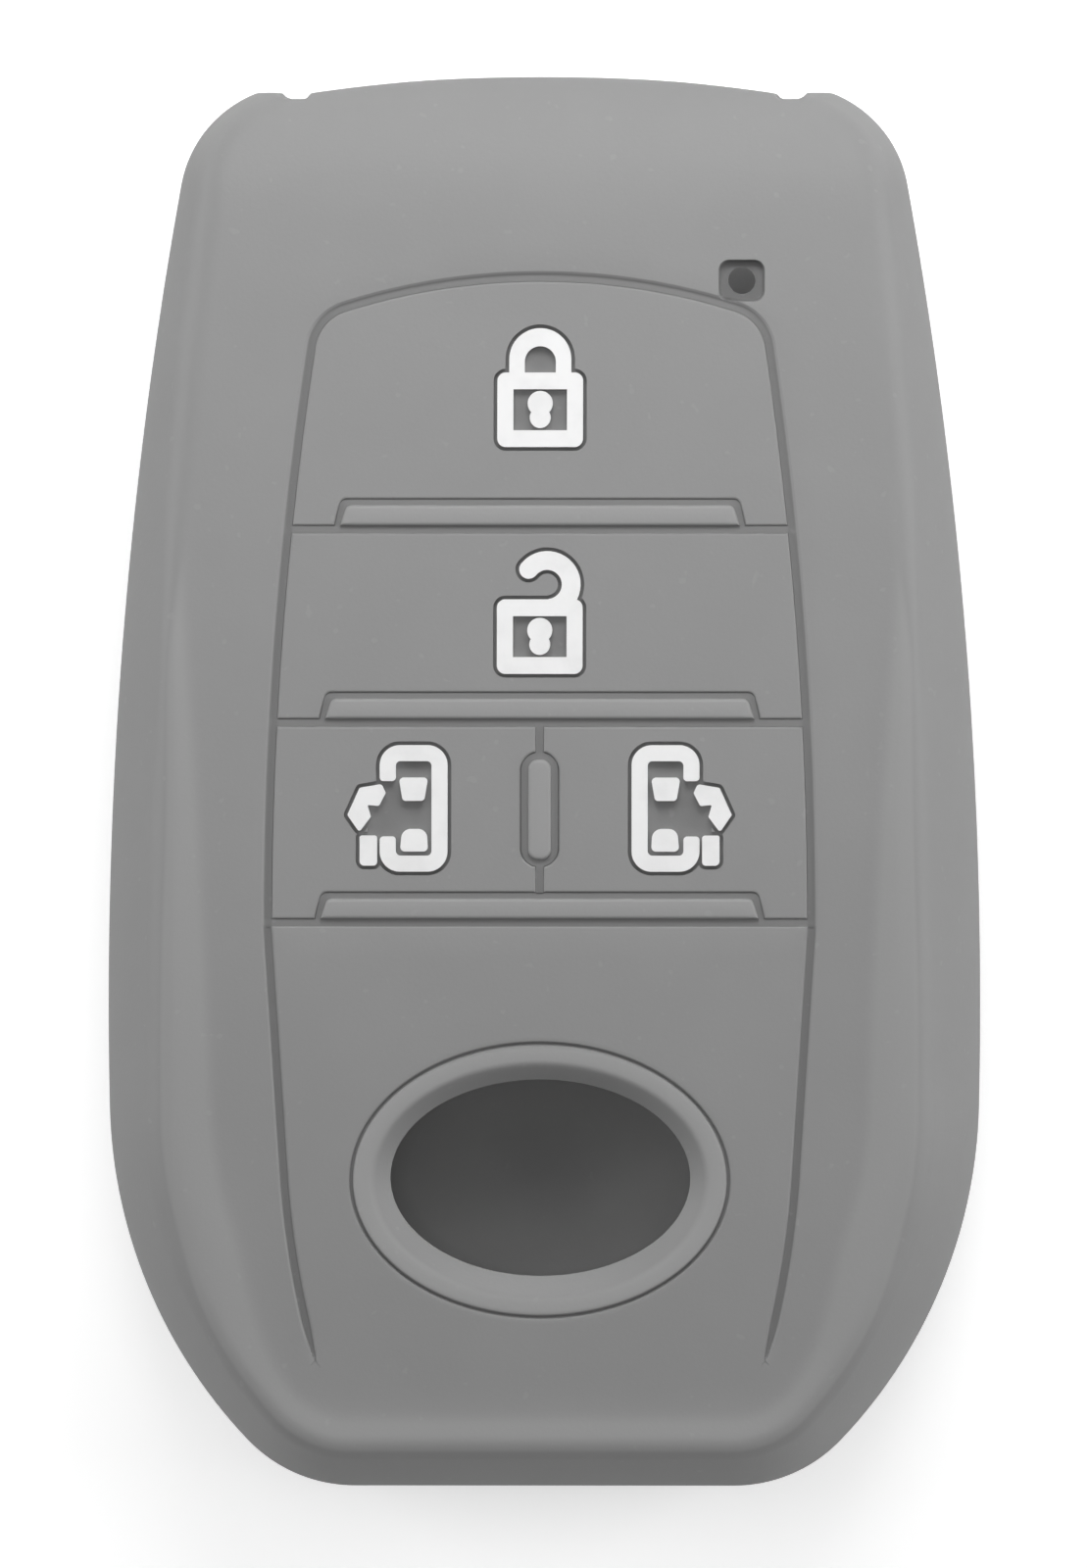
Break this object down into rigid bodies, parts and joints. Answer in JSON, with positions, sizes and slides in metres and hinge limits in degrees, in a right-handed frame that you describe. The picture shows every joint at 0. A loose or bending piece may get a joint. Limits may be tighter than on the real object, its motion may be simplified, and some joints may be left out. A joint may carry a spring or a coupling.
{
  "type": "key fob cover",
  "caption": "Soft silicone sleeve for a car key fob, with press pads under white pictograms, an oval emblem window, a lamp hole and an open mouth at one end.",
  "frame": {"origin": "middle of the flat back, under the middle of the cover's outline", "axes": "+Z out of the button face, +Y towards the open mouth, +X to the right when the pictograms are upright"},
  "size_m": [0.047, 0.076, 0.0179],
  "materials": {
    "grey_silicone": "matte moulded silicone",
    "white_silicone": "matte filled silicone"
  },
  "bodies": {
    "cover": {"sleeve": "grey_silicone"},
    "lock": {"lock_button": "grey_silicone", "lock_padlock": "white_silicone", "lock_keyhole": "white_silicone"},
    "unlock": {"unlock_button": "grey_silicone", "unlock_padlock": "white_silicone", "unlock_keyhole": "white_silicone"},
    "left_door": {"left_door_button": "grey_silicone", "left_door_car_outline": "white_silicone", "left_door_front_seat": "white_silicone", "left_door_rear_seat": "white_silicone", "left_door_arrow": "white_silicone", "left_door_leaf": "white_silicone"},
    "right_door": {"right_door_button": "grey_silicone", "right_door_car_outline": "white_silicone", "right_door_front_seat": "white_silicone", "right_door_rear_seat": "white_silicone", "right_door_arrow": "white_silicone", "right_door_leaf": "white_silicone"}
  },
  "joints": [
    {"name": "lock_press", "type": "slide", "parent": "cover", "child": "lock", "axis": [0, 0, -1], "range_m": [0, 0.0005], "stiffness_N_per_m": 1500},
    {"name": "unlock_press", "type": "slide", "parent": "cover", "child": "unlock", "axis": [0, 0, -1], "range_m": [0, 0.0005], "stiffness_N_per_m": 1500},
    {"name": "left_door_press", "type": "slide", "parent": "cover", "child": "left_door", "axis": [0, 0, -1], "range_m": [0, 0.0005], "stiffness_N_per_m": 1500},
    {"name": "right_door_press", "type": "slide", "parent": "cover", "child": "right_door", "axis": [0, 0, -1], "range_m": [0, 0.0005], "stiffness_N_per_m": 1500}
  ]
}
